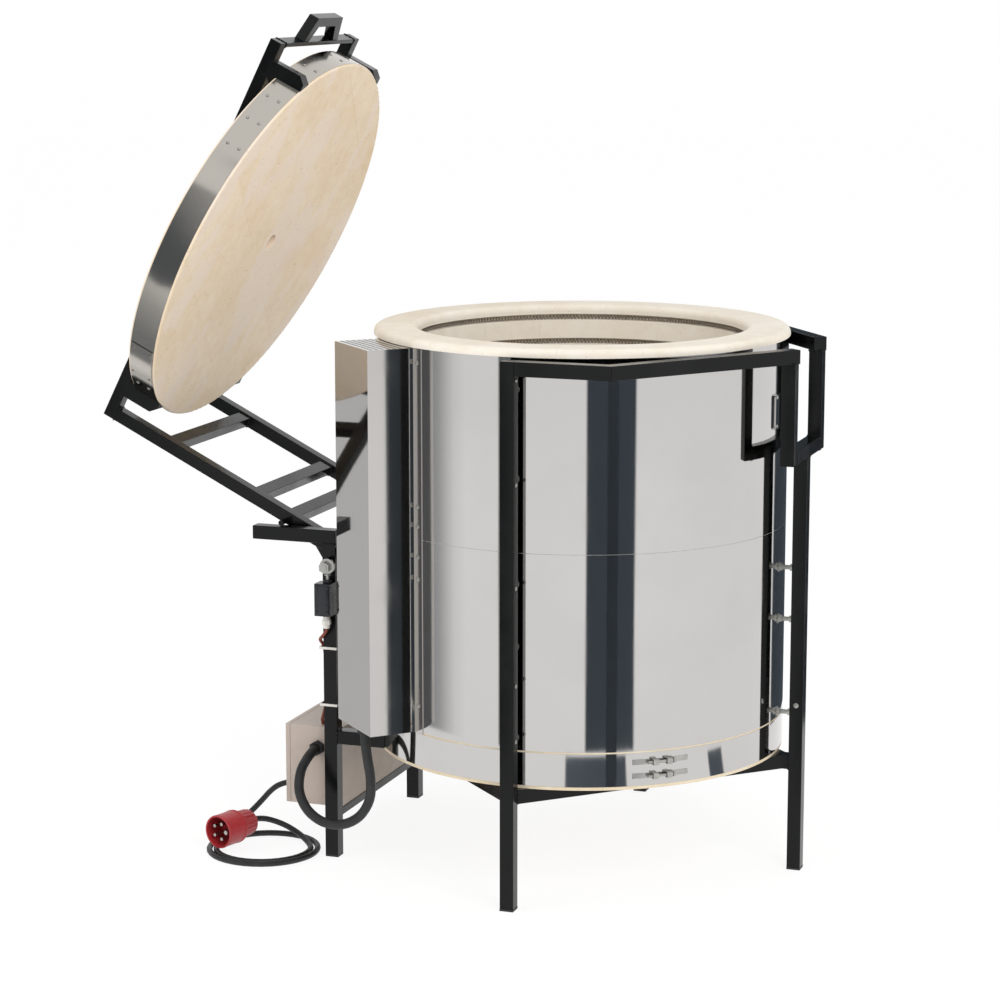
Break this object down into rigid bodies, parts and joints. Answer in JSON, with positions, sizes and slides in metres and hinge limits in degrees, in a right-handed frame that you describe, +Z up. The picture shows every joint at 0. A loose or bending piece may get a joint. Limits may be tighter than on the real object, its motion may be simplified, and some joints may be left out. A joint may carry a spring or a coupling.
{
  "type": "electric kiln",
  "caption": "Top-loading round electric kiln of firebrick in a polished steel jacket, on a black tube stand, with a swing-back lid that works a limit switch, a connection box and a mains cord.",
  "frame": {"origin": "On the floor, under the middle of the part's box without the hose and the mains cord.", "axes": "+Z is up, -Y is the front where the operator stands, +X is the operator's right. The lid swings back towards +Y."},
  "size_m": [0.829, 1.3107, 1.5395],
  "materials": {
    "black_paint": "satin",
    "black_plastic": "matte",
    "firebrick": "matte, porous",
    "fibre": "matte",
    "polished_steel": "mirror polished",
    "brushed_band": "brushed",
    "zinc": "zinc plated",
    "element_wire": "oxidised",
    "ceramic": "glazed",
    "brass_terminal": "satin",
    "box_enamel": "satin",
    "red_sleeving": "matte",
    "white_nylon": "matte",
    "fireclay": "matte",
    "black_rubber": "matte",
    "red_plastic": "satin"
  },
  "bodies": {
    "stand": {"left_post": "black_paint", "right_post": "black_paint", "front_post": "black_paint", "rear_posts": "black_paint", "foot_caps": "black_plastic", "base_bars": "black_paint", "tie_bars": "black_paint", "rear_cross_rail": "black_paint", "stop_arms": "black_paint", "top_rails": "black_paint", "bracket_uprights": "black_paint", "bracket_bar": "black_paint", "standoffs": "zinc", "floor_slab": "firebrick", "floor_band": "polished_steel", "floor_clamps": "brushed_band", "brick_ring_lower": "firebrick", "brick_ring_middle": "firebrick", "brick_ring_upper": "firebrick", "fibre_blanket": "fibre", "jacket_lower": "polished_steel", "jacket_upper": "polished_steel", "jacket_screws": "zinc", "front_plate": "polished_steel", "elements_lower": "element_wire", "elements_middle": "element_wire", "elements_upper": "element_wire", "tail_bushes": "ceramic", "tail_connectors": "brass_terminal", "thermocouple": "ceramic", "connection_box": "polished_steel", "connection_grille": "brushed_band", "switchgear_box": "box_enamel", "switchgear_cover": "box_enamel", "contactors": "black_plastic", "box_glands": "black_plastic", "limit_switch": "black_plastic", "switch_gland": "white_nylon", "switch_cable": "red_sleeving", "cable_ties": "white_nylon", "hose": "black_rubber", "mains_lead": "black_rubber", "mains_coil": "black_rubber", "plug_shell": "red_plastic", "plug_pins": "zinc"},
    "lid": {"lid_slab": "firebrick", "lid_band": "brushed_band", "lid_plate": "brushed_band", "lid_rails": "black_paint", "lid_arms": "black_paint", "lid_front_bar": "black_paint", "lid_cross_bars": "black_paint", "lid_claws": "black_paint", "lid_handle": "black_paint", "pivot_lugs": "black_paint", "stop_pins": "black_paint", "pivot_bolts": "zinc", "switch_cam": "zinc"},
    "plunger": {"switch_plunger": "zinc"},
    "stopper": {"vent_plug": "fireclay"}
  },
  "joints": [
    {"name": "lid_hinge", "type": "hinge", "parent": "stand", "child": "lid", "pos_m": [0, 0.18465, 0.551], "axis": [1, 0, 0], "range_deg": [0, 63.2]},
    {"name": "plunger_slide", "type": "slide", "parent": "stand", "child": "plunger", "axis": [0, 0, -1], "range_m": [0, 0.0045], "stiffness_N_per_m": 400, "springref_m": -0.003},
    {"name": "stopper_lift", "type": "slide", "parent": "lid", "child": "stopper", "axis": [0, 0.8926, 0.4509], "range_m": [0, 0.08]}
  ],
  "couplings": [
    {"joint": "plunger_slide", "follows": "lid_hinge", "m_per_rad": 0.003325}
  ]
}
